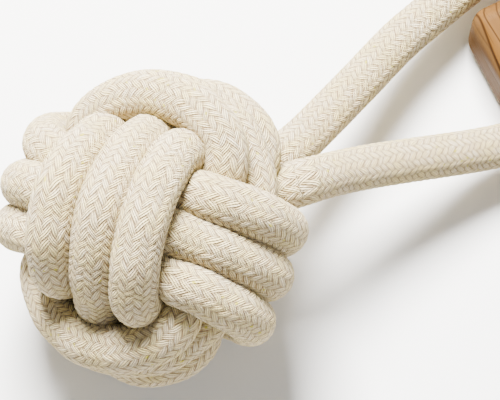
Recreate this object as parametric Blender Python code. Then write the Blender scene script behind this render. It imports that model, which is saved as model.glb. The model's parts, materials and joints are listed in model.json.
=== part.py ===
"""Rope grab handle: a monkey's fist and a wooden grip rail that hangs in the fist's rope loop.

Frame: metres, +Z up. The handle lies on the plane Z = 0. The origin is the middle of the rail's
underside, +Y runs along the rail towards its short end, and +X points away from the fist.
"""

import bpy
import math
import numpy as np
from mathutils import Euler

# Driving dimensions, in metres.
ROPE = 0.012
RAIL_LENGTH = 0.150
RAIL_WIDTH = 0.030
RAIL_THICKNESS = 0.024
RAIL_ROUNDING = 0.0058
HOLE_RADIUS = 0.007
HOLE_FROM_END = 0.038
CONTACT_GAP = 0.0003
STRAND_GAP = 0.0005

# The fist: its centre behind and beside the hole's near mouth, its height, and its knot's turn.
FIST_BACK = 0.1099
FIST_ASIDE = 0.015
FIST_HEIGHT = 0.0446
FIST_TURN_DEG = (130.5, -60.0, -178.0)

# The knot, in rope diameters. Its own frame has x to its face, y to its crown, z to its side.
CORE_RADIUS = 1.2
OUTER_RADIUS = 2.9
INNER_RADIUS = 1.9
SHELL_RADIUS = 2.8
TURNS = 3
FRONT_LEAN = -0.1
SIDE_DROP = 0.17
SIDE_RISE = 0.5
COURSE_STEP_DEG = 4.0
SHIFT_SPAN_DEG = 80.0
SIDE_SPAN_DEG = 120.0
DIVE_AT_DEG = 50.0
DIVE_SPAN_DEG = 10.0
BESIDE = 1.0
ACROSS = 0.9
NODE_STEP = 0.25
ENTRY = (-2.5, 1.75, -1.2)
LEAVING = (-1.55, 1.65, -2.2)
LEG_STUB = 0.6

# How the knot is worked tight.
TIGHTENING_ROUNDS = 700
SETTLING_ROUNDS = 120
PINNED_NODES = 3
TIGHT_PULL = 0.5
SETTLED_PULL = 0.1
STIFFNESS = 0.075
BEND_REACH = 4
SQUEEZE = 0.2
PUSHES = 6
CROWDING = 0.6
RESPACING = 25
REPAIRING = 5
SAME_STRETCH = 1.6
NEARBY = 1.25

# Solids. Tube radii are in rope diameters.
WRAP_RADIUS = 0.47
LOOP_RADIUS = 0.48
WRAP_STRIDE = 2
LOOP_SPACING = 0.006
WRAP_NAMES = ("first_wrap", "second_wrap", "third_wrap")

HOLE_Y = RAIL_LENGTH / 2 - HOLE_FROM_END
HOLE_Z = RAIL_THICKNESS / 2
FIST = np.array((-RAIL_WIDTH / 2 - FIST_BACK, HOLE_Y + FIST_ASIDE, FIST_HEIGHT))
FIST_TURN = np.array(Euler([math.radians(angle) for angle in FIST_TURN_DEG], "XYZ").to_matrix())

# The loop's route from one leg, round the rail's short end, through the hole and back.
LOOP_ROUTE = (
    (-0.0722, 0.0619, 0.0255),
    (-0.0519, 0.0704, 0.0205),
    (-0.0357, 0.0774, 0.0165),
    (-0.0220, 0.0818, 0.0137),
    (-0.0040, 0.0868, 0.0108),
    (0.0090, 0.0888, 0.0092),
    (0.0225, 0.0890, 0.0085),
    (0.0355, 0.0855, 0.0080),
    (0.0450, 0.0760, 0.0078),
    (0.0485, 0.0630, 0.0081),
    (0.0450, 0.0500, 0.0090),
    (0.0355, 0.0405, 0.0105),
    (0.0225, HOLE_Y, HOLE_Z),
    (0.0085, HOLE_Y, HOLE_Z),
    (-0.0055, HOLE_Y, HOLE_Z),
    (-0.0185, HOLE_Y, HOLE_Z),
    (-0.0290, 0.0387, 0.0143),
    (-0.0400, 0.0407, 0.0191),
    (-0.0510, 0.0427, 0.0244),
    (-0.0620, 0.0445, 0.0298),
    (-0.0722, 0.0457, 0.0351),
)


def clear_scene():
    for found in list(bpy.data.objects):
        bpy.data.objects.remove(found, do_unlink=True)


def material(name, colour, roughness):
    made = bpy.data.materials.new(name)
    made.use_nodes = True
    shader = made.node_tree.nodes["Principled BSDF"]
    shader.inputs["Base Color"].default_value = (*colour, 1.0)
    shader.inputs["Roughness"].default_value = roughness
    shader.inputs["Metallic"].default_value = 0.0
    return made


# ---- The knot's course ----

def eased(amount):
    amount = np.clip(amount, 0.0, 1.0)
    return amount * amount * (3.0 - 2.0 * amount)


def wrap_course(start_deg, end_deg, shift_deg, shift_span=SHIFT_SPAN_DEG):
    """One wrap in its own plane: two coordinates along the plane and the step off it."""
    turned = np.arange(start_deg, end_deg + COURSE_STEP_DEG / 2, COURSE_STEP_DEG)
    aside = np.full_like(turned, -0.5 * (TURNS + 1))
    for turn in range(TURNS + 1):
        aside += eased((turned - (shift_deg + 360.0 * turn)) / shift_span + 0.5)
    from_outer = np.abs((turned + 90.0) % 180.0 - 90.0)
    middle = (OUTER_RADIUS + INNER_RADIUS) / 2
    swing = (OUTER_RADIUS - INNER_RADIUS) / 2
    radius = middle - swing * np.tanh((from_outer - DIVE_AT_DEG) / DIVE_SPAN_DEG)
    radius = np.sqrt(radius ** 2 - 0.5 * aside ** 2)
    angle = np.radians(turned)
    return radius * np.cos(angle), radius * np.sin(angle), aside


def starting_courses(entry_way, leaving_way):
    """The three wraps, each outside one neighbour and inside the other."""
    entry = np.array(ENTRY)
    leaving = np.array(LEAVING)
    along, across, aside = wrap_course(150, 1170, 90)
    body = np.stack([along, across, aside + FRONT_LEAN * across], 1)
    first = np.concatenate([[entry + LEG_STUB * entry_way, entry], body])
    along, across, aside = wrap_course(90, 1170, 90)
    second = np.stack([-aside, along, across], 1)
    along, across, aside = wrap_course(210, 1350, 180, SIDE_SPAN_DEG)
    body = np.stack([across, SIDE_RISE - aside - SIDE_DROP * along, along], 1)[::-1]
    third = np.concatenate([body, [leaving, leaving + LEG_STUB * leaving_way]])
    return [first, second, third]


def evenly_spaced(course, step):
    lengths = np.linalg.norm(np.diff(course, axis=0), axis=1)
    so_far = np.concatenate([[0.0], np.cumsum(lengths)])
    count = int(round(so_far[-1] / step))
    wanted = np.linspace(0.0, so_far[-1], count + 1)
    return np.stack([np.interp(wanted, so_far, course[:, axis]) for axis in range(3)], 1)


def strand_slices(courses):
    ends = np.cumsum([len(course) for course in courses])
    return [slice(end - len(course), end) for course, end in zip(courses, ends)]


def neighbours_along(strands, total):
    """True for each pair of nodes that are close along one rope, and so may be close in space."""
    owner = np.zeros(total, int)
    place = np.zeros(total, int)
    for number, strand in enumerate(strands):
        owner[strand] = number
        place[strand] = np.arange(strand.stop - strand.start)
    same = owner[:, None] == owner[None, :]
    return same & (np.abs(place[:, None] - place[None, :]) * NODE_STEP < SAME_STRETCH)


def touching_pairs(nodes, strands, own):
    """Pairs of nodes that are near each other, and the distance their ropes keep."""
    apart = np.linalg.norm(nodes[:, None] - nodes[None, :], axis=2)
    first, second = np.where(np.triu(~own, 1) & (apart < NEARBY))
    heading = np.zeros_like(nodes)
    for strand in strands:
        heading[strand] = np.gradient(nodes[strand], axis=0)
    heading /= np.linalg.norm(heading, axis=1)[:, None]
    parallel = np.abs((heading[first] * heading[second]).sum(1))
    kept = ACROSS + (BESIDE - ACROSS) * eased((parallel - 0.5) / 0.4)
    return first, second, kept


def straightened(course, pull, bend):
    """The course after one pull on the rope and one push from its stiffness."""
    tug = np.zeros_like(course)
    tug[1:-1] = 0.5 * (course[:-2] + course[2:]) - course[1:-1]
    reach = BEND_REACH
    sag = np.zeros_like(course)
    sag[reach:-reach] = 0.5 * (course[:-2 * reach] + course[2 * reach:]) - course[reach:-reach]
    spring = np.zeros_like(course)
    inner = slice(2 * reach, -2 * reach)
    spring[inner] = sag[inner] - 0.5 * (sag[reach:-3 * reach] + sag[3 * reach:-reach])
    return course + pull * tug + bend * spring


def pushed_apart(nodes, free, pairs):
    first, second, kept = pairs
    gap = nodes[second] - nodes[first]
    distance = np.linalg.norm(gap, axis=1)
    hit = distance < kept
    push = gap[hit] / distance[hit, None] * ((kept - distance) * 0.5)[hit, None]
    moved = np.zeros_like(nodes)
    hits = np.zeros(len(nodes))
    np.add.at(moved, first[hit], -push)
    np.add.at(moved, second[hit], push)
    np.add.at(hits, first[hit], 1)
    np.add.at(hits, second[hit], 1)
    nodes = nodes + moved / np.maximum(hits, 1)[:, None] ** CROWDING * free
    reach = np.linalg.norm(nodes, axis=1)
    inside = reach < CORE_RADIUS + 0.5
    nodes[inside] *= ((CORE_RADIUS + 0.5) / reach[inside])[:, None]
    return nodes


def tightened(courses):
    """Pull the rope tight over the core, keep its strands a diameter apart, and let it settle."""
    courses = [evenly_spaced(course, NODE_STEP) for course in courses]
    settle_from = TIGHTENING_ROUNDS - SETTLING_ROUNDS
    for step in range(TIGHTENING_ROUNDS):
        settling = step >= settle_from
        if (step % RESPACING == 0 and not settling) or step == settle_from:
            courses = [evenly_spaced(course, NODE_STEP) for course in courses]
            strands = strand_slices(courses)
            nodes = np.concatenate(courses)
            own = neighbours_along(strands, len(nodes))
            free = np.ones((len(nodes), 1))
            for strand in strands:
                free[strand.start:strand.start + PINNED_NODES] = 0.0
                free[strand.stop - PINNED_NODES:strand.stop] = 0.0
        if step % REPAIRING == 0:
            pairs = touching_pairs(nodes, strands, own)
        pull = SETTLED_PULL if settling else TIGHT_PULL
        pulled = np.concatenate([straightened(nodes[strand], pull, STIFFNESS) for strand in strands])
        nodes = nodes + (pulled - nodes) * free
        if not settling:
            reach = np.linalg.norm(nodes, axis=1, keepdims=True)
            nodes = nodes * (1 - SQUEEZE * free * np.maximum(reach - SHELL_RADIUS, 0.0) / reach)
        for _ in range(PUSHES):
            nodes = pushed_apart(nodes, free, pairs)
        courses = [nodes[strand] for strand in strands]
    return courses


def free_radius(courses):
    """The tube radius at each node that keeps it clear of every other strand."""
    strands = strand_slices(courses)
    nodes = np.concatenate(courses)
    apart = np.linalg.norm(nodes[:, None] - nodes[None, :], axis=2)
    apart[neighbours_along(strands, len(nodes))] = np.inf
    clear = np.minimum(WRAP_RADIUS, apart.min(1) / 2 - STRAND_GAP / ROPE)
    radii = []
    for strand in strands:
        padded = np.pad(clear[strand], WRAP_STRIDE, mode="edge")
        windows = np.lib.stride_tricks.sliding_window_view(padded, 2 * WRAP_STRIDE + 1)
        radii.append(windows.min(1))
    return radii


# ---- Placing the knot and its loop ----

def knot_to_handle(points):
    return np.asarray(points) @ FIST_TURN.T * ROPE + FIST


def leg_way(corner, stop):
    """The way, in the knot's frame, from a corner of the knot to a stop on the loop's route."""
    away = (np.array(stop) - knot_to_handle(corner)) @ FIST_TURN
    return away / np.linalg.norm(away)


def leg_end(corner, way):
    """Where a leg of the loop meets the knot's stub, with the gap between two solids."""
    return knot_to_handle(np.array(corner) + (LEG_STUB + CONTACT_GAP / ROPE) * way)


def smooth_through(stops, spacing):
    """Points along a Catmull-Rom curve through the stops, evenly spaced."""
    stops = np.array(stops)
    padded = np.concatenate([[2 * stops[0] - stops[1]], stops, [2 * stops[-1] - stops[-2]]])
    fine = []
    for before, start, end, after in zip(padded, padded[1:], padded[2:], padded[3:]):
        for part in np.arange(0.0, 1.0, 0.05):
            bend = 2 * before - 5 * start + 4 * end - after
            twist = -before + 3 * start - 3 * end + after
            fine.append(start + 0.5 * part * (end - before + part * (bend + part * twist)))
    fine.append(stops[-1])
    return evenly_spaced(np.array(fine), spacing)


# ---- Solids ----

def rope_tube(name, points, radii, finish):
    curve = bpy.data.curves.new(name, "CURVE")
    curve.dimensions = "3D"
    curve.bevel_depth = ROPE
    curve.bevel_resolution = 3
    curve.use_fill_caps = True
    spline = curve.splines.new("POLY")
    spline.points.add(len(points) - 1)
    for point, place, radius in zip(spline.points, points, radii):
        point.co = (*place, 1.0)
        point.radius = radius
    made = bpy.data.objects.new(name, curve)
    made.data.materials.append(finish)
    bpy.context.collection.objects.link(made)
    return made


def fist_wraps(finish, entry_way, leaving_way):
    courses = tightened(starting_courses(entry_way, leaving_way))
    for name, course, radii in zip(WRAP_NAMES, courses, free_radius(courses)):
        points = knot_to_handle(course)[::WRAP_STRIDE]
        rope_tube(name, points, radii[::WRAP_STRIDE], finish)


def rope_loop(finish, entry_way, leaving_way):
    start = leg_end(ENTRY, entry_way)
    finish_end = leg_end(LEAVING, leaving_way)
    points = smooth_through((start, *LOOP_ROUTE, finish_end), LOOP_SPACING)
    rope_tube("rope_loop", points, [LOOP_RADIUS] * len(points), finish)


def core_ball(finish):
    bpy.ops.mesh.primitive_uv_sphere_add(
        segments=24, ring_count=12, radius=CORE_RADIUS * ROPE - 2 * CONTACT_GAP, location=FIST)
    made = bpy.context.object
    made.name = "core_ball"
    made.data.materials.append(finish)
    made.data.shade_smooth()


def grip_rail(finish):
    """The rail, with its origin on the hole's axis, where it turns on the rope."""
    bpy.ops.mesh.primitive_cube_add(size=1.0)
    rail = bpy.context.object
    rail.name = "grip_rail"
    size = (RAIL_WIDTH, RAIL_LENGTH, RAIL_THICKNESS)
    for corner in rail.data.vertices:
        corner.co = [part * side for part, side in zip(corner.co, size)]
        corner.co.y -= HOLE_Y
    rail.location = (0.0, HOLE_Y, HOLE_Z)
    rounding = rail.modifiers.new("rounding", "BEVEL")
    rounding.width = RAIL_ROUNDING
    rounding.segments = 4
    bpy.ops.mesh.primitive_cylinder_add(
        vertices=32, radius=HOLE_RADIUS, depth=2 * RAIL_WIDTH, location=rail.location,
        rotation=(0.0, math.radians(90.0), 0.0))
    cutter = bpy.context.object
    cutter.name = "hole_cutter"
    cutter.display_type = "WIRE"
    cutter.hide_render = True
    hole = rail.modifiers.new("hole", "BOOLEAN")
    hole.operation = "DIFFERENCE"
    hole.object = cutter
    rail.data.materials.append(finish)


def main():
    clear_scene()
    cotton = material("cotton_rope", (0.80, 0.73, 0.61), 0.95)
    wood = material("oiled_wood", (0.56, 0.36, 0.17), 0.5)
    core = material("core_wood", (0.62, 0.47, 0.30), 0.8)
    entry_way = leg_way(ENTRY, LOOP_ROUTE[0])
    leaving_way = leg_way(LEAVING, LOOP_ROUTE[-1])
    fist_wraps(cotton, entry_way, leaving_way)
    rope_loop(cotton, entry_way, leaving_way)
    core_ball(core)
    grip_rail(wood)


main()
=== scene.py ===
"""Looks of the rope grab handle: braided cotton rope tied in a monkey's fist, and an oiled rail."""

import json
import math

import bmesh
import bpy
import numpy as np
from mathutils import Euler, Matrix, Vector


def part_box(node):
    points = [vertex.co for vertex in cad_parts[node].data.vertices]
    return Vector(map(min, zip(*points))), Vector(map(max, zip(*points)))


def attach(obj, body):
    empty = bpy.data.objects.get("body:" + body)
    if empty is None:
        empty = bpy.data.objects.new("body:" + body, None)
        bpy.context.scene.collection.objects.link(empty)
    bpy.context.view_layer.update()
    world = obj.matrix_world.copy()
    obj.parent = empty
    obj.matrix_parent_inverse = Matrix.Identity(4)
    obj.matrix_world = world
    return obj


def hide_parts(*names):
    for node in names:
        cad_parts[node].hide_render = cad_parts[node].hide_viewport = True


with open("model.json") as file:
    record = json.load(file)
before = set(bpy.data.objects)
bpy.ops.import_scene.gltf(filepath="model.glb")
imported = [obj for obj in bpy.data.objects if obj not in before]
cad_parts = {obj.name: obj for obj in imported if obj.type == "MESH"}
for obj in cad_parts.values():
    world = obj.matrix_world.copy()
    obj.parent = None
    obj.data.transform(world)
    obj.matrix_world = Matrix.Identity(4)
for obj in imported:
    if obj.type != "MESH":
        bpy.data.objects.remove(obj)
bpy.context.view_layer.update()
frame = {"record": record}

# ---- Sizes and places, in metres ----

ROPE = 0.012
FIST = np.mean(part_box("core_ball"), axis=0)
RAIL_LOW, RAIL_HIGH = (np.array(corner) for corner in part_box("grip_rail"))
HOLE = np.array(frame["record"]["behaviour"]["joints"][0]["pos_m"])
HOLE_RADIUS = 0.007
HOLE_LIP = 0.0022
RAIL_ROUNDING = 0.0058
ROUNDING_STEPS = 12
FLARE_STEPS = 8
HOLE_STEPS = 64
PAST_RAIL = 0.004
SHARP_DEG = 40
CONTACT_GAP = 0.0003

# The camera looks steeply down. The knot fills the left of its picture, and one corner of the rail
# stands at the upper right edge.
CAMERA_AZIMUTH_DEG = 26.2
CAMERA_ELEVATION_DEG = 75.0
CAMERA_LENS_MM = 200.0
CAMERA_SENSOR_MM = 36.0
FRAME_WIDTH = 0.1374
AIM_RIGHT = 0.0261
AIM_UP = 0.0071

# The knot, in rope diameters: x to its face, y to its crown, z to its side.
FIST_TURN_DEG = (130.5, -60.0, -178.0)
FIST_TURN = np.array(Euler([math.radians(angle) for angle in FIST_TURN_DEG], "XYZ").to_matrix())
CORE_RADIUS = 1.2
OUTER_RADIUS = 2.9
INNER_RADIUS = 1.9
SHELL_RADIUS = 2.8
TURNS = 3
FRONT_LEAN = -0.1
SIDE_DROP = 0.17
SIDE_RISE = 0.5
COURSE_STEP_DEG = 4.0
SHIFT_SPAN_DEG = 80.0
SIDE_SPAN_DEG = 120.0
DIVE_AT_DEG = 50.0
DIVE_SPAN_DEG = 10.0
ENTRY = (-2.5, 1.75, -1.2)
LEAVING = (-1.55, 1.65, -2.2)
LEG_STUB = 0.6

# How the rope is tightened, with lengths in rope diameters. Strands keep BESIDE from each other
# where they run side by side and ACROSS where they cross.
NODE_STEP = 0.25
BESIDE = 1.0
ACROSS = 0.9
CROSSING_COSINE = 0.5
CROSSING_SPAN = 0.4
ON_CORE = CORE_RADIUS + 0.5
TIGHTENING_ROUNDS = 700
SETTLING_ROUNDS = 120
PINNED_NODES = 3
TIGHT_PULL = 0.5
SETTLED_PULL = 0.1
STIFFNESS = 0.075
BEND_REACH = 4
SQUEEZE = 0.2
PUSHES = 6
CROWDING = 0.6
RESPACING = 25
REPAIRING = 5
SAME_STRETCH = 1.6
NEARBY = 1.25

# The loop's route from one leg, round the rail's short end, through the hole and back.
LOOP_ROUTE = (
    (-0.0722, 0.0619, 0.0255),
    (-0.0519, 0.0704, 0.0205),
    (-0.0357, 0.0774, 0.0165),
    (-0.0220, 0.0818, 0.0137),
    (-0.0040, 0.0868, 0.0108),
    (0.0090, 0.0888, 0.0092),
    (0.0225, 0.0890, 0.0085),
    (0.0355, 0.0855, 0.0080),
    (0.0450, 0.0760, 0.0078),
    (0.0485, 0.0630, 0.0081),
    (0.0450, 0.0500, 0.0090),
    (0.0355, 0.0405, 0.0105),
    (0.0225, HOLE[1], HOLE[2]),
    (0.0085, HOLE[1], HOLE[2]),
    (-0.0055, HOLE[1], HOLE[2]),
    (-0.0185, HOLE[1], HOLE[2]),
    (-0.0290, 0.0387, 0.0143),
    (-0.0400, 0.0407, 0.0191),
    (-0.0510, 0.0427, 0.0244),
    (-0.0620, 0.0445, 0.0298),
    (-0.0722, 0.0457, 0.0351),
)

# The braid: yarn bundles each way round, how far one bundle runs along the rope in a full turn,
# how high the bundles stand and how much of that is their round crowns and how much the weave.
BUNDLES = 18
BRAID_PITCH = 0.0400
BUNDLE_RELIEF = 0.00036
BUNDLE_FLATNESS = 3.0
CROWN_SHARE = 0.6
WEAVE_SHARE = 0.4
OVER_FIRST = 0.5
OVER_SECOND = 2.5
PLIES = 3

# The small unevenness of a soft rope, as a share of a bundle. Each wave has its number along one
# full turn of a bundle, its number round the rope, and its start.
BRAID_DRIFT = 0.08
DRIFT_WAVES = ((17.0, 2.0, 0.0), (41.0, -1.0, 1.3))
SLIP_WAVES = ((23.0, -1.0, 0.6), (57.0, 3.0, 0.0))

# The rope's mesh. Nearer the knot's middle than DEEP_REACH, only one ring in DEEP_EVERY is kept.
CURVE_STEP = 0.05
RING_STEP = 0.0005
RING_SIDES = 104
DEEP_REACH = 0.0288
DEEP_EVERY = 6

# How the rope swells to its soft radius in the knot, is slimmer in its legs, and flattens against
# strands within PRESS_REACH of it that aren't the same stretch of rope.
SOFT_RADIUS = 0.0066
LEG_RADIUS = 0.0062
SWELL_SPAN = 0.02
LEAST_RADIUS = 0.30 * ROPE
PRESS_REACH = 1.35 * ROPE
PRESS_APART = 1.7 * ROPE
LEAST_COSINE = 0.3

# How far each blur reaches, in rings, and how often it is repeated.
SMOOTHING = (4, 2)
ROOT_SMOOTHING = (9, 3)
RADIUS_SMOOTHING = (3, 2)
JOIN_SPAN = 0.004
ROOT_SPAN = 0.012
OTHERS_EVERY = 3
CHAIN_GAP = 100.0


# ---- The knot's course, as in the CAD model ----

def eased(amount):
    amount = np.clip(amount, 0.0, 1.0)
    return amount * amount * (3.0 - 2.0 * amount)


def wrap_course(start_deg, end_deg, shift_deg, shift_span=SHIFT_SPAN_DEG):
    """One wrap in its own plane: two coordinates along the plane and the step off it."""
    turned = np.arange(start_deg, end_deg + COURSE_STEP_DEG / 2, COURSE_STEP_DEG)
    aside = np.full_like(turned, -0.5 * (TURNS + 1))
    for turn in range(TURNS + 1):
        aside += eased((turned - (shift_deg + 360.0 * turn)) / shift_span + 0.5)
    from_outer = np.abs((turned + 90.0) % 180.0 - 90.0)
    middle = (OUTER_RADIUS + INNER_RADIUS) / 2
    swing = (OUTER_RADIUS - INNER_RADIUS) / 2
    radius = middle - swing * np.tanh((from_outer - DIVE_AT_DEG) / DIVE_SPAN_DEG)
    radius = np.sqrt(radius ** 2 - 0.5 * aside ** 2)
    angle = np.radians(turned)
    return radius * np.cos(angle), radius * np.sin(angle), aside


def starting_courses(entry_way, leaving_way):
    """The three wraps, each outside one neighbour and inside the other."""
    entry = np.array(ENTRY)
    leaving = np.array(LEAVING)
    along, across, aside = wrap_course(150, 1170, 90)
    body = np.stack([along, across, aside + FRONT_LEAN * across], 1)
    first = np.concatenate([[entry + LEG_STUB * entry_way, entry], body])
    along, across, aside = wrap_course(90, 1170, 90)
    second = np.stack([-aside, along, across], 1)
    along, across, aside = wrap_course(210, 1350, 180, SIDE_SPAN_DEG)
    body = np.stack([across, SIDE_RISE - aside - SIDE_DROP * along, along], 1)[::-1]
    third = np.concatenate([body, [leaving, leaving + LEG_STUB * leaving_way]])
    return [first, second, third]


def evenly_spaced(course, step):
    lengths = np.linalg.norm(np.diff(course, axis=0), axis=1)
    so_far = np.concatenate([[0.0], np.cumsum(lengths)])
    count = int(round(so_far[-1] / step))
    wanted = np.linspace(0.0, so_far[-1], count + 1)
    return np.stack([np.interp(wanted, so_far, course[:, axis]) for axis in range(3)], 1)


def strand_slices(courses):
    ends = np.cumsum([len(course) for course in courses])
    return [slice(end - len(course), end) for course, end in zip(courses, ends)]


def neighbours_along(strands, total):
    """True for each pair of nodes that are close along one rope, and so may be close in space."""
    owner = np.zeros(total, int)
    place = np.zeros(total, int)
    for number, strand in enumerate(strands):
        owner[strand] = number
        place[strand] = np.arange(strand.stop - strand.start)
    same = owner[:, None] == owner[None, :]
    return same & (np.abs(place[:, None] - place[None, :]) * NODE_STEP < SAME_STRETCH)


def touching_pairs(nodes, strands, own):
    """Pairs of nodes that are near each other, and the distance their ropes keep."""
    apart = np.linalg.norm(nodes[:, None] - nodes[None, :], axis=2)
    first, second = np.where(np.triu(~own, 1) & (apart < NEARBY))
    heading = np.zeros_like(nodes)
    for strand in strands:
        heading[strand] = np.gradient(nodes[strand], axis=0)
    heading /= np.linalg.norm(heading, axis=1)[:, None]
    parallel = np.abs((heading[first] * heading[second]).sum(1))
    kept = ACROSS + (BESIDE - ACROSS) * eased((parallel - CROSSING_COSINE) / CROSSING_SPAN)
    return first, second, kept


def straightened(course, pull, bend):
    """The course after one pull on the rope and one push from its stiffness."""
    tug = np.zeros_like(course)
    tug[1:-1] = 0.5 * (course[:-2] + course[2:]) - course[1:-1]
    reach = BEND_REACH
    sag = np.zeros_like(course)
    sag[reach:-reach] = 0.5 * (course[:-2 * reach] + course[2 * reach:]) - course[reach:-reach]
    spring = np.zeros_like(course)
    inner = slice(2 * reach, -2 * reach)
    spring[inner] = sag[inner] - 0.5 * (sag[reach:-3 * reach] + sag[3 * reach:-reach])
    return course + pull * tug + bend * spring


def pushed_apart(nodes, free, pairs):
    first, second, kept = pairs
    gap = nodes[second] - nodes[first]
    distance = np.linalg.norm(gap, axis=1)
    hit = distance < kept
    push = gap[hit] / distance[hit, None] * ((kept - distance) * 0.5)[hit, None]
    moved = np.zeros_like(nodes)
    hits = np.zeros(len(nodes))
    np.add.at(moved, first[hit], -push)
    np.add.at(moved, second[hit], push)
    np.add.at(hits, first[hit], 1)
    np.add.at(hits, second[hit], 1)
    nodes = nodes + moved / np.maximum(hits, 1)[:, None] ** CROWDING * free
    reach = np.linalg.norm(nodes, axis=1)
    inside = reach < ON_CORE
    nodes[inside] *= (ON_CORE / reach[inside])[:, None]
    return nodes


def tightened(courses):
    """Pull the rope tight over the core, keep its strands a diameter apart, and let it settle."""
    courses = [evenly_spaced(course, NODE_STEP) for course in courses]
    settle_from = TIGHTENING_ROUNDS - SETTLING_ROUNDS
    for step in range(TIGHTENING_ROUNDS):
        settling = step >= settle_from
        if (step % RESPACING == 0 and not settling) or step == settle_from:
            courses = [evenly_spaced(course, NODE_STEP) for course in courses]
            strands = strand_slices(courses)
            nodes = np.concatenate(courses)
            own = neighbours_along(strands, len(nodes))
            free = np.ones((len(nodes), 1))
            for strand in strands:
                free[strand.start:strand.start + PINNED_NODES] = 0.0
                free[strand.stop - PINNED_NODES:strand.stop] = 0.0
        if step % REPAIRING == 0:
            pairs = touching_pairs(nodes, strands, own)
        pull = SETTLED_PULL if settling else TIGHT_PULL
        pulled = np.concatenate(
            [straightened(nodes[strand], pull, STIFFNESS) for strand in strands])
        nodes = nodes + (pulled - nodes) * free
        if not settling:
            reach = np.linalg.norm(nodes, axis=1, keepdims=True)
            nodes = nodes * (1 - SQUEEZE * free * np.maximum(reach - SHELL_RADIUS, 0.0) / reach)
        for _ in range(PUSHES):
            nodes = pushed_apart(nodes, free, pairs)
        courses = [nodes[strand] for strand in strands]
    return courses


def knot_to_handle(points):
    return np.asarray(points) @ FIST_TURN.T * ROPE + FIST


def leg_way(corner, stop):
    """The way, in the knot's frame, from a corner of the knot to a stop on the loop's route."""
    away = (np.array(stop) - knot_to_handle(corner)) @ FIST_TURN
    return away / np.linalg.norm(away)


# ---- Smooth courses and the frames along them ----

def smooth_through(stops, spacing):
    """Points along a Catmull-Rom curve through the stops, evenly spaced."""
    stops = np.array(stops)
    padded = np.concatenate([[2 * stops[0] - stops[1]], stops, [2 * stops[-1] - stops[-2]]])
    fine = []
    for before, start, end, after in zip(padded, padded[1:], padded[2:], padded[3:]):
        for part in np.arange(0.0, 1.0, CURVE_STEP):
            bend = 2 * before - 5 * start + 4 * end - after
            twist = -before + 3 * start - 3 * end + after
            fine.append(start + 0.5 * part * (end - before + part * (bend + part * twist)))
    fine.append(stops[-1])
    return evenly_spaced(np.array(fine), spacing)


def blurred(values, reach, rounds):
    """Values averaged along their first axis, with the first and last repeated past the ends."""
    for _ in range(rounds):
        padded = np.concatenate([values[:1]] * reach + [values] + [values[-1:]] * reach)
        total = sum(padded[step:step + len(values)] for step in range(2 * reach + 1))
        values = total / (2 * reach + 1)
    return values


def frames_along(course):
    """A sideways and an upward vector at each point, carried along without twist."""
    heading = np.gradient(course, axis=0)
    heading /= np.linalg.norm(heading, axis=1)[:, None]
    side = np.zeros_like(course)
    start = np.cross(heading[0], (0.3, 0.5, 0.8))
    side[0] = start / np.linalg.norm(start)
    for step in range(1, len(course)):
        carried = side[step - 1] - side[step - 1].dot(heading[step]) * heading[step]
        side[step] = carried / np.linalg.norm(carried)
    return side, np.cross(heading, side)


# ---- The rope's surface ----

def pressed_radii(course, own_places, others, other_places, round_radius):
    """The rope's radius round each ring where it swells to a soft radius and flattens on the
    mid-plane to every strand that it touches."""
    side, up = frames_along(course)
    turned = np.linspace(0.0, 2 * math.pi, RING_SIDES, endpoint=False)
    radii = np.empty((len(course), RING_SIDES))
    for ring, centre in enumerate(course):
        ways = np.outer(np.cos(turned), side[ring]) + np.outer(np.sin(turned), up[ring])
        gap = others - centre
        distance = np.linalg.norm(gap, axis=1)
        far_along = np.abs(other_places - own_places[ring]) > PRESS_APART
        near = (distance < PRESS_REACH) & far_along
        limit = np.full(RING_SIDES, round_radius[ring])
        if near.any():
            toward = gap[near] / distance[near, None]
            cosine = np.maximum(ways @ toward.T, LEAST_COSINE)
            limit = np.minimum(limit, (distance[near] / 2 / cosine).min(1))
        radii[ring] = limit
    return np.maximum(radii, LEAST_RADIUS)


def braid_height(around, along):
    """How high the braid stands, from 0 in its grooves to 1, two bundles over and two under."""
    one_way = BUNDLES * (around - along)
    other_way = BUNDLES * (around + along)
    first = np.round(one_way)
    second = np.round(other_way)
    crown_one = 1 - np.abs(2 * (one_way - first)) ** BUNDLE_FLATNESS
    crown_other = 1 - np.abs(2 * (other_way - second)) ** BUNDLE_FLATNESS
    quarter = math.pi / 2
    over_one = np.cos(quarter * (first + other_way - OVER_FIRST))
    over_other = np.cos(quarter * (one_way + second - OVER_SECOND))
    height = np.maximum(CROWN_SHARE * crown_one + WEAVE_SHARE * over_one,
                        CROWN_SHARE * crown_other + WEAVE_SHARE * over_other)
    return np.clip(height, 0.0, 1.0)


def hand_laid(around, along):
    """The braid's coordinates with the small unevenness of a soft rope."""
    turn = 2 * math.pi * around
    drift, slip = (sum(np.sin(lengthwise * along + roundwise * turn + start)
                       for lengthwise, roundwise, start in waves)
                   for waves in (DRIFT_WAVES, SLIP_WAVES))
    return around + BRAID_DRIFT * drift / BUNDLES, along + BRAID_DRIFT * slip / BUNDLES


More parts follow.
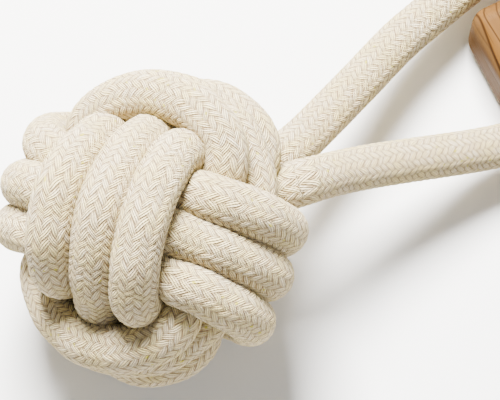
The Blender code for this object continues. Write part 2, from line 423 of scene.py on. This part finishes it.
def rope_mesh(name, course, side, up, radii, along, material):
    """A closed tube with the braid as real relief, and the braid's coordinates as its UV map."""
    turned = np.linspace(0.0, 2 * math.pi, RING_SIDES, endpoint=False)
    around = np.append(turned, 2 * math.pi) / (2 * math.pi)
    braid_around, braid_along = hand_laid(around[None, :], along[:, None])
    relief = braid_height(braid_around[:, :-1], braid_along[:, :-1]) - 0.5
    reach = radii + BUNDLE_RELIEF * relief
    cosine, sine = np.cos(turned)[None, :, None], np.sin(turned)[None, :, None]
    ways = cosine * side[:, None] + sine * up[:, None]
    points = course[:, None] + ways * reach[:, :, None]
    rings = len(course)
    ring = np.arange(rings - 1)[:, None] * RING_SIDES
    place = np.arange(RING_SIDES)[None, :]
    after = (place + 1) % RING_SIDES
    quads = np.stack([ring + place, ring + after, ring + RING_SIDES + after,
                      ring + RING_SIDES + place], -1).reshape(-1, 4)
    mesh = bpy.data.meshes.new(name)
    vertices = np.concatenate([points.reshape(-1, 3), course[:1], course[-1:]])
    first_cap = rings * RING_SIDES
    last_ring = (rings - 1) * RING_SIDES
    caps = [(first_cap, (step + 1) % RING_SIDES, step) for step in range(RING_SIDES)]
    caps += [(first_cap + 1, last_ring + step, last_ring + (step + 1) % RING_SIDES)
             for step in range(RING_SIDES)]
    mesh.from_pydata(vertices.tolist(), [], quads.tolist() + caps)
    laid = np.stack([braid_around, braid_along], -1)
    corners = np.stack([laid[:-1, :-1], laid[:-1, 1:], laid[1:, 1:], laid[1:, :-1]], 2)
    coordinates = np.zeros((len(mesh.loops), 2))
    coordinates[:quads.size] = corners.reshape(-1, 2)
    layer = mesh.uv_layers.new(name="braid")
    layer.data.foreach_set("uv", coordinates.ravel())
    mesh.shade_smooth()
    made = bpy.data.objects.new(name, mesh)
    bpy.context.collection.objects.link(made)
    mesh.materials.append(material)
    return made


def smoothed_off_loop(course, from_loop):
    """The course smoothed inside the knot, most of all at the legs' roots, and kept on the loop."""
    knotted = eased(from_loop / JOIN_SPAN)[:, None]
    root = knotted * (1 - eased((from_loop - ROOT_SPAN) / ROOT_SPAN))[:, None]
    smooth = course + knotted * (blurred(course, *SMOOTHING) - course)
    return smooth + root * (blurred(course, *ROOT_SMOOTHING) - smooth)


def rope_pieces(cotton):
    """The knot's wraps and the loop, cut from two courses of one rope."""
    entry_way = leg_way(ENTRY, LOOP_ROUTE[0])
    leaving_way = leg_way(LEAVING, LOOP_ROUTE[-1])
    wraps = tightened(starting_courses(entry_way, leaving_way))
    first, second, third = (smooth_through(knot_to_handle(wrap), RING_STEP) for wrap in wraps)
    loop = smooth_through((first[0], *LOOP_ROUTE, third[-1]), RING_STEP)
    long_course = np.concatenate([first[:0:-1], loop, third[-2::-1]])
    loop_start = len(first) - 1
    loop_end = loop_start + len(loop) - 1
    steps = np.arange(len(long_course))
    from_loop = np.maximum(loop_start - steps, steps - loop_end) * RING_STEP
    courses = [smoothed_off_loop(long_course, from_loop), blurred(second, *SMOOTHING)]
    soft = LEG_RADIUS + (SOFT_RADIUS - LEG_RADIUS) * eased(from_loop / SWELL_SPAN + 0.5)
    round_radii = [soft, np.full(len(second), SOFT_RADIUS)]
    places = [np.arange(len(course)) * RING_STEP + CHAIN_GAP * chain
              for chain, course in enumerate(courses)]
    others = np.concatenate([course[::OTHERS_EVERY] for course in courses])
    other_places = np.concatenate([place[::OTHERS_EVERY] for place in places])
    surfaces = []
    for course, place, round_radius in zip(courses, places, round_radii):
        radii = pressed_radii(course, place, others, other_places, round_radius)
        radii = blurred(radii, *RADIUS_SMOOTHING)
        side, up = frames_along(course)
        along = (place % CHAIN_GAP) / BRAID_PITCH
        surfaces.append((course, side, up, radii, along))

    def cut(name, surface, start, stop):
        """One stretch of rope, with fewer rings where it lies deep in the knot."""
        deep = np.linalg.norm(surface[0][start:stop] - FIST, axis=1) < DEEP_REACH
        kept = ~deep | (np.arange(stop - start) % DEEP_EVERY == 0)
        kept[[0, -1]] = True
        return rope_mesh(name, *(part[start:stop][kept] for part in surface), cotton)

    first_rope = cut("first_wrap_rope", surfaces[0], 0, loop_start + 1)
    loop_rope = cut("rope_loop_braid", surfaces[0], loop_start, loop_end + 1)
    third_rope = cut("third_wrap_rope", surfaces[0], loop_end, len(long_course))
    second_rope = cut("second_wrap_rope", surfaces[1], 0, len(second))
    wrap_ropes = (first_rope, second_rope, third_rope)
    for piece, node in zip(wrap_ropes, ("first_wrap", "second_wrap", "third_wrap")):
        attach(piece, "fist")
        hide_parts(node)
    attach(loop_rope, "fist")
    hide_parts("rope_loop")


# ---- Materials ----

def new_material(name):
    made = bpy.data.materials.new(name)
    made.use_nodes = True
    nodes = made.node_tree.nodes
    return made, nodes, made.node_tree.links, nodes["Principled BSDF"]


class Sums:
    """Short names for the arithmetic of a node tree."""

    def __init__(self, nodes, links):
        self.nodes = nodes
        self.links = links

    def feed(self, socket, value):
        if isinstance(value, bpy.types.NodeSocket):
            self.links.new(value, socket)
        else:
            socket.default_value = value

    def math(self, operation, first, second=0.0):
        node = self.nodes.new("ShaderNodeMath")
        node.operation = operation
        self.feed(node.inputs[0], first)
        self.feed(node.inputs[1], second)
        return node.outputs[0]

    def add(self, first, second):
        return self.math("ADD", first, second)

    def less(self, first, second):
        return self.math("SUBTRACT", first, second)

    def times(self, first, second):
        return self.math("MULTIPLY", first, second)

    def mix(self, amount, first, second):
        """first where the amount is 0, second where it is 1."""
        return self.add(first, self.times(amount, self.less(second, first)))

    def ramp(self, value, low, high, to_low=0.0, to_high=1.0):
        node = self.nodes.new("ShaderNodeMapRange")
        node.interpolation_type = "SMOOTHSTEP"
        self.feed(node.inputs["Value"], value)
        node.inputs["From Min"].default_value = low
        node.inputs["From Max"].default_value = high
        node.inputs["To Min"].default_value = to_low
        node.inputs["To Max"].default_value = to_high
        return node.outputs[0]

    def colour_mix(self, amount, first, second, blend="MIX"):
        node = self.nodes.new("ShaderNodeMix")
        node.data_type = "RGBA"
        node.blend_type = blend
        self.feed(node.inputs["Factor"], amount)
        for socket, value in ((node.inputs["A"], first), (node.inputs["B"], second)):
            self.feed(socket, value)
        return node.outputs["Result"]

    def noise(self, place, scale, detail=3.0, roughness=0.55):
        node = self.nodes.new("ShaderNodeTexNoise")
        node.inputs["Scale"].default_value = scale
        node.inputs["Detail"].default_value = detail
        node.inputs["Roughness"].default_value = roughness
        self.links.new(place, node.inputs["Vector"])
        return node.outputs["Fac"]

    def vector(self, *parts):
        node = self.nodes.new("ShaderNodeCombineXYZ")
        for socket, part in zip(node.inputs, parts):
            self.feed(socket, part)
        return node.outputs[0]

    def chance(self, place):
        """A fixed random number for each whole-numbered place."""
        node = self.nodes.new("ShaderNodeTexWhiteNoise")
        node.noise_dimensions = "3D"
        self.links.new(place, node.inputs["Vector"])
        return node.outputs["Value"]


# The cotton's colours, how much of each one shows, and the relief in its bump. The groove colour is
# painted shade for the grooves between bundles, and the ply shades are painted shade between plies.
# Edges are where a ramp starts and ends. A noise is its scale, detail and roughness.
COTTON_PALE = (0.90, 0.775, 0.525, 1.0)
COTTON_CREAM = (0.69, 0.535, 0.30, 1.0)
COTTON_STRAW = (0.84, 0.67, 0.27, 1.0)
# Painted shade: the dark colour the cotton takes in the grooves between bundles.
PAINTED_GROOVE_SHADE = (0.34, 0.225, 0.10, 1.0)
COTTON_SEED = (0.52, 0.45, 0.02, 1.0)
FULL_TURN = 6.283
TWIST_RATE = 2.2
TINT_RATE = 0.5
FLECK_RATE = 2.0
SECOND_TINT = 7.0
OTHER_WAY_NUMBERS = 500.0
FIBRES = (3800.0, 4.0, 0.7)
PATCHES = (150.0, 3.0)
GROOVE_SHADE_EDGES = (0.32, 0.88)
STRAW_PLIES = 0.55
STRAW_PATCHES = 0.7
PATCH_EDGES = (0.42, 0.66)
PLY_EDGES = (0.0, 0.75)
PLY_SHADES = (0.5, 1.0)
FIBRE_EDGES = (0.3, 0.7)
FIBRE_SHADES = (0.76, 1.08)
SEED_RARITY = 0.9955
SEED_SHARE = 0.8
COTTON_ROUGHNESS = 0.95
COTTON_SHEEN = 0.15
SHEEN_ROUGHNESS = 0.6
COTTON_SPECULAR = 0.15
PLY_RELIEF = 1.6
TWIST_RELIEF = 0.2
WEAVE_RELIEF = 0.4
FIBRE_RELIEF = 1.1
COTTON_BUMP = 0.00026


def cotton_material():
    """Natural cotton, braided: each bundle is a few twisted plies, with painted shade darkening the
    grooves between bundles and the edges between plies.
    """
    made, nodes, links, shader = new_material("cotton_braid")
    sums = Sums(nodes, links)
    uv = nodes.new("ShaderNodeUVMap")
    uv.uv_map = "braid"
    split = nodes.new("ShaderNodeSeparateXYZ")
    links.new(uv.outputs[0], split.inputs[0])
    around, along = split.outputs[0], split.outputs[1]
    one_way = sums.times(sums.less(around, along), float(BUNDLES))
    other_way = sums.times(sums.add(around, along), float(BUNDLES))
    first = sums.math("ROUND", one_way)
    second = sums.math("ROUND", other_way)

    def height(off_crown, over_phase):
        from_crown = sums.times(2.0, sums.math("ABSOLUTE", off_crown))
        crown = sums.less(1.0, sums.math("POWER", from_crown, BUNDLE_FLATNESS))
        over = sums.math("COSINE", sums.times(math.pi / 2, over_phase))
        return sums.add(sums.times(CROWN_SHARE, crown), sums.times(WEAVE_SHARE, over))

    off_first = sums.less(one_way, first)
    off_second = sums.less(other_way, second)
    first_height = height(off_first, sums.less(sums.add(first, other_way), OVER_FIRST))
    second_height = height(off_second, sums.less(sums.add(one_way, second), OVER_SECOND))
    on_top = sums.math("GREATER_THAN", first_height, second_height)
    across = sums.mix(on_top, off_second, off_first)
    lengthwise = sums.mix(on_top, one_way, other_way)
    bundle = sums.mix(on_top, sums.add(second, OTHER_WAY_NUMBERS), first)
    top = sums.math("MAXIMUM", first_height, second_height)

    in_plies = sums.times(sums.add(across, 0.5), float(PLIES))
    ply = sums.math("FLOOR", in_plies)
    off_ply = sums.less(sums.math("FRACT", in_plies), 0.5)
    ply_crown = sums.less(1.0, sums.times(4.0, sums.times(off_ply, off_ply)))
    turned = sums.times(FULL_TURN, sums.add(sums.times(lengthwise, TWIST_RATE), off_ply))
    twist = sums.math("SINE", turned)

    spot = nodes.new("ShaderNodeTexCoord").outputs["Object"]
    fibres = sums.noise(spot, *FIBRES)
    patches = sums.noise(spot, *PATCHES)
    tint_place = sums.math("FLOOR", sums.times(lengthwise, TINT_RATE))
    tint = sums.chance(sums.vector(bundle, ply, tint_place))
    tint_two = sums.chance(sums.vector(ply, bundle, SECOND_TINT))
    fleck_place = sums.math("FLOOR", sums.times(lengthwise, FLECK_RATE))
    fleck = sums.chance(sums.vector(bundle, fleck_place, ply))

    # Painted shade: the cotton darkens to the groove shade where the braid stands low, and again at
    # the edges between plies.
    depth = sums.ramp(top, *GROOVE_SHADE_EDGES)
    pale = sums.colour_mix(tint, COTTON_CREAM, COTTON_PALE)
    pale = sums.colour_mix(sums.times(STRAW_PLIES, tint_two), pale, COTTON_STRAW)
    patch = sums.ramp(patches, *PATCH_EDGES, 0.0, STRAW_PATCHES)
    pale = sums.colour_mix(patch, pale, COTTON_STRAW)
    groove = sums.colour_mix(depth, PAINTED_GROOVE_SHADE, pale)
    ply_shade = sums.ramp(ply_crown, *PLY_EDGES, *PLY_SHADES)
    ply_shade = sums.times(ply_shade, sums.ramp(fibres, *FIBRE_EDGES, *FIBRE_SHADES))
    shaded = sums.colour_mix(1.0, groove, sums.vector(ply_shade, ply_shade, ply_shade), "MULTIPLY")
    seeds = sums.math("GREATER_THAN", fleck, SEED_RARITY)
    coloured = sums.colour_mix(sums.times(SEED_SHARE, seeds), shaded, COTTON_SEED)
    links.new(coloured, shader.inputs["Base Color"])
    shader.inputs["Roughness"].default_value = COTTON_ROUGHNESS
    shader.inputs["Sheen Weight"].default_value = COTTON_SHEEN
    shader.inputs["Sheen Roughness"].default_value = SHEEN_ROUGHNESS
    shader.inputs["Specular IOR Level"].default_value = COTTON_SPECULAR

    relief = sums.add(sums.times(ply_crown, PLY_RELIEF), sums.times(twist, TWIST_RELIEF))
    relief = sums.add(relief, sums.times(top, WEAVE_RELIEF))
    relief = sums.add(relief, sums.times(fibres, FIBRE_RELIEF))
    bump = nodes.new("ShaderNodeBump")
    bump.inputs["Strength"].default_value = 1.0
    bump.inputs["Distance"].default_value = COTTON_BUMP
    links.new(relief, bump.inputs["Height"])
    links.new(bump.outputs[0], shader.inputs["Normal"])
    return made


# Each wood's pale bands, dark bands and deep lines, and the painted shade on the rail's strip of
# wood between its crack and the near long edge.
OILED_WOOD = ((0.108, 0.050, 0.0125, 1.0), (0.062, 0.027, 0.0062, 1.0), (0.018, 0.007, 0.002, 1.0))
BARE_WOOD = ((0.50, 0.34, 0.18, 1.0), (0.40, 0.26, 0.13, 1.0), (0.2, 0.12, 0.06, 1.0))
# Painted shade: the darker colour of the strip between the rail's crack and its long edge.
PAINTED_EDGE_SHADE = (0.080, 0.042, 0.016, 1.0)
CRACK_INSET = 0.0004
CRACK_FROM_Y = 0.060
CRACK_SLANT = 0.10
CRACK_WANDER = 0.0024
CRACK_WIDTH = 0.0006
CRACK_SHARE = 0.92
EDGE_SHADE_BLEND = 0.0002
EDGE_SHADE_SHARE = 0.75

# The wood's grain. A stretch is how much each noise is drawn out along the grain.
BANDS = (150.0, 4.0, 0.6)
BAND_STRETCH = 0.06
BAND_EDGES = (0.3, 0.7)
PORES = (1900.0, 3.0, 0.6)
PORE_STRETCH = 0.03
PORE_EDGES = (0.56, 0.72)
PORE_SHARE = 0.55
WANDER = (70.0, 2.0)
WANDER_STRETCH = 0.25
GRAIN_TILT = 0.6
GRAIN_WANDER = 0.012
GRAIN_LINES = 1500.0
LINE_EDGES = (0.82, 1.0)
LINE_SHARE = 0.75
WOOD_ROUGHNESS = (0.45, 0.62)
ROUGHNESS_EDGES = (0.2, 0.8)
WOOD_SPECULAR = 0.03
WOOD_BUMP_STRENGTH = 0.5
WOOD_BUMP = 0.00015
BAND_RELIEF = 0.4


def wood_material(name, colours, crack_x=None):
    """Wood with its grain along Y: soft bands, fine pores and a few dark growth lines, and on the
    rail a hairline crack near one long edge, with painted shade darkening the wood between the
    crack and that edge."""
    pale, dark, deep = colours
    made, nodes, links, shader = new_material(name)
    sums = Sums(nodes, links)
    spot = nodes.new("ShaderNodeTexCoord").outputs["Object"]
    split = nodes.new("ShaderNodeSeparateXYZ")
    links.new(spot, split.inputs[0])
    x, y, z = split.outputs[0], split.outputs[1], split.outputs[2]
    bands = sums.noise(sums.vector(x, sums.times(y, BAND_STRETCH), z), *BANDS)
    pores = sums.noise(sums.vector(x, sums.times(y, PORE_STRETCH), z), *PORES)
    wander = sums.noise(sums.vector(x, sums.times(y, WANDER_STRETCH), z), *WANDER)
    depth = sums.add(sums.add(x, sums.times(GRAIN_TILT, z)), sums.times(wander, GRAIN_WANDER))
    rings = sums.math("SINE", sums.times(depth, GRAIN_LINES))
    lines = sums.ramp(rings, *LINE_EDGES)
    colour = sums.colour_mix(sums.ramp(bands, *BAND_EDGES), pale, dark)
    colour = sums.colour_mix(sums.times(LINE_SHARE, lines), colour, deep)
    colour = sums.colour_mix(sums.ramp(pores, *PORE_EDGES, 0.0, PORE_SHARE), colour, deep)
    if crack_x is not None:
        slant = sums.times(sums.less(y, CRACK_FROM_Y), CRACK_SLANT)
        place = sums.add(slant, sums.times(wander, CRACK_WANDER))
        off_crack = sums.less(x, sums.add(place, crack_x))
        # Painted shade darkens the strip of rail between the crack and its long edge.
        outside = sums.ramp(off_crack, -EDGE_SHADE_BLEND, EDGE_SHADE_BLEND, EDGE_SHADE_SHARE, 0.0)
        colour = sums.colour_mix(outside, colour, PAINTED_EDGE_SHADE)
        crack = sums.ramp(sums.math("ABSOLUTE", off_crack), 0.0, CRACK_WIDTH, 1.0, 0.0)
        colour = sums.colour_mix(sums.times(CRACK_SHARE, crack), colour, deep)
    links.new(colour, shader.inputs["Base Color"])
    roughness = sums.ramp(bands, *ROUGHNESS_EDGES, *WOOD_ROUGHNESS)
    links.new(roughness, shader.inputs["Roughness"])
    shader.inputs["Specular IOR Level"].default_value = WOOD_SPECULAR
    bump = nodes.new("ShaderNodeBump")
    bump.inputs["Strength"].default_value = WOOD_BUMP_STRENGTH
    bump.inputs["Distance"].default_value = WOOD_BUMP
    relief = sums.less(sums.times(bands, BAND_RELIEF), sums.add(pores, lines))
    links.new(relief, bump.inputs["Height"])
    links.new(bump.outputs[0], shader.inputs["Normal"])
    return made


# ---- The rail ----

def turned_cutter(profile, centre):
    """A solid of revolution about X through the hole, from (x, radius) pairs."""
    mesh = bpy.data.meshes.new("hole_cutter")
    shape = bmesh.new()
    points = [shape.verts.new((x, 0.0, radius)) for x, radius in profile]
    edges = [shape.edges.new(pair) for pair in zip(points, points[1:])]
    bmesh.ops.spin(shape, geom=points + edges, cent=(0, 0, 0), axis=(1, 0, 0),
                   angle=2 * math.pi, steps=HOLE_STEPS, use_merge=True)
    bmesh.ops.remove_doubles(shape, verts=shape.verts, dist=1e-6)
    bmesh.ops.recalc_face_normals(shape, faces=shape.faces)
    shape.to_mesh(mesh)
    shape.free()
    cutter = bpy.data.objects.new("hole_cutter", mesh)
    cutter.location = centre
    bpy.context.collection.objects.link(cutter)
    return cutter


def grip_rail(wood):
    size = RAIL_HIGH - RAIL_LOW
    centre = (RAIL_LOW + RAIL_HIGH) / 2
    bpy.ops.mesh.primitive_cube_add(size=1.0)
    rail = bpy.context.object
    rail.name = "grip_rail_wood"
    for corner in rail.data.vertices:
        corner.co = [place + part * side for place, part, side in zip(centre, corner.co, size)]
    rounding = rail.modifiers.new("rounding", "BEVEL")
    rounding.width = RAIL_ROUNDING
    rounding.segments = ROUNDING_STEPS
    half = size[0] / 2
    steps = [step * math.pi / 2 / FLARE_STEPS for step in range(FLARE_STEPS + 1)]
    flare = [(half - HOLE_LIP + HOLE_LIP * math.sin(step),
              HOLE_RADIUS + HOLE_LIP * (1 - math.cos(step))) for step in steps]
    past = half + PAST_RAIL
    right = flare + [(past, HOLE_RADIUS + HOLE_LIP), (past, 0.0)]
    profile = [(-x, radius) for x, radius in reversed(right)] + right
    cutter = turned_cutter(profile, HOLE)
    hole = rail.modifiers.new("hole", "BOOLEAN")
    hole.object = cutter
    bpy.context.view_layer.update()
    seen = rail.evaluated_get(bpy.context.evaluated_depsgraph_get())
    mesh = bpy.data.meshes.new_from_object(seen)
    rail.modifiers.clear()
    rail.data = mesh
    bpy.data.objects.remove(cutter, do_unlink=True)
    mesh.shade_smooth()
    mesh.set_sharp_from_angle(angle=math.radians(SHARP_DEG))
    mesh.materials.clear()
    mesh.materials.append(wood)
    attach(rail, "rail")
    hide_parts("grip_rail")


# ---- Stage ----

def view_axes():
    """Rightward, upward and towards the camera, as the camera sees the handle."""
    azimuth = math.radians(CAMERA_AZIMUTH_DEG)
    elevation = math.radians(CAMERA_ELEVATION_DEG)
    right = Vector((math.cos(azimuth), -math.sin(azimuth), 0.0))
    forward = Vector((math.sin(azimuth), math.cos(azimuth), 0.0))
    upward = forward * math.sin(elevation) + Vector((0, 0, math.cos(elevation)))
    return right, upward, right.cross(upward)


def camera():
    right, upward, toward = view_axes()
    data = bpy.data.cameras.new("camera")
    data.lens = CAMERA_LENS_MM
    data.sensor_width = CAMERA_SENSOR_MM
    data.clip_end = 10.0
    seen = bpy.data.objects.new("camera", data)
    aim = Vector(FIST) + right * AIM_RIGHT + upward * AIM_UP
    away = FRAME_WIDTH * CAMERA_LENS_MM / CAMERA_SENSOR_MM
    seen.matrix_world = Matrix.Translation(aim + toward * away) @ Matrix(
        (right, upward, toward)).transposed().to_4x4()
    bpy.context.collection.objects.link(seen)
    bpy.context.scene.camera = seen


def area_light(name, place, size, power, colour):
    data = bpy.data.lights.new(name, "AREA")
    data.size = size
    data.energy = power
    data.color = colour
    light = bpy.data.objects.new(name, data)
    light.location = place
    light.rotation_euler = (Vector(FIST) - place).to_track_quat("-Z", "Y").to_euler()
    bpy.context.collection.objects.link(light)


# Each light's name, place from the knot (rightward, upward, towards the camera), size, power and
# colour.
LIGHTS = (
    ("key", (-0.1, 0.8, 0.62), 0.4, 116.0, (1.0, 0.985, 0.96)),
    ("fill", (0.6, -0.2, 0.8), 0.9, 2.5, (1.0, 0.99, 0.98)),
)
SKY_STRENGTH = 0.45
FLOOR_COLOUR = (0.86, 0.86, 0.855, 1.0)
FLOOR_ROUGHNESS = 0.9
FLOOR_SIZE = 6.0


def studio():
    right, upward, toward = view_axes()
    for name, (rightward, up, near), size, power, colour in LIGHTS:
        place = Vector(FIST) + right * rightward + upward * up + toward * near
        area_light(name, place, size, power, colour)
    world = bpy.data.worlds.new("studio")
    bpy.context.scene.world = world
    world.use_nodes = True
    sky = world.node_tree.nodes["Background"]
    sky.inputs["Color"].default_value = (1.0, 1.0, 1.0, 1.0)
    sky.inputs["Strength"].default_value = SKY_STRENGTH


def floor():
    bpy.ops.mesh.primitive_plane_add(size=FLOOR_SIZE, location=(0.0, 0.0, -CONTACT_GAP))
    plane = bpy.context.object
    plane.name = "floor"
    made, _, _, shader = new_material("pale_floor")
    shader.inputs["Base Color"].default_value = FLOOR_COLOUR
    shader.inputs["Roughness"].default_value = FLOOR_ROUGHNESS
    plane.data.materials.append(made)


def main():
    camera()
    rope_pieces(cotton_material())
    grip_rail(wood_material("oiled_wood_grain", OILED_WOOD, RAIL_LOW[0] + CRACK_INSET))
    core = wood_material("core_wood_grain", BARE_WOOD)
    core_node = bpy.data.objects["core_ball"]
    for slot in core_node.material_slots:
        slot.material = core
    floor()
    studio()


main()
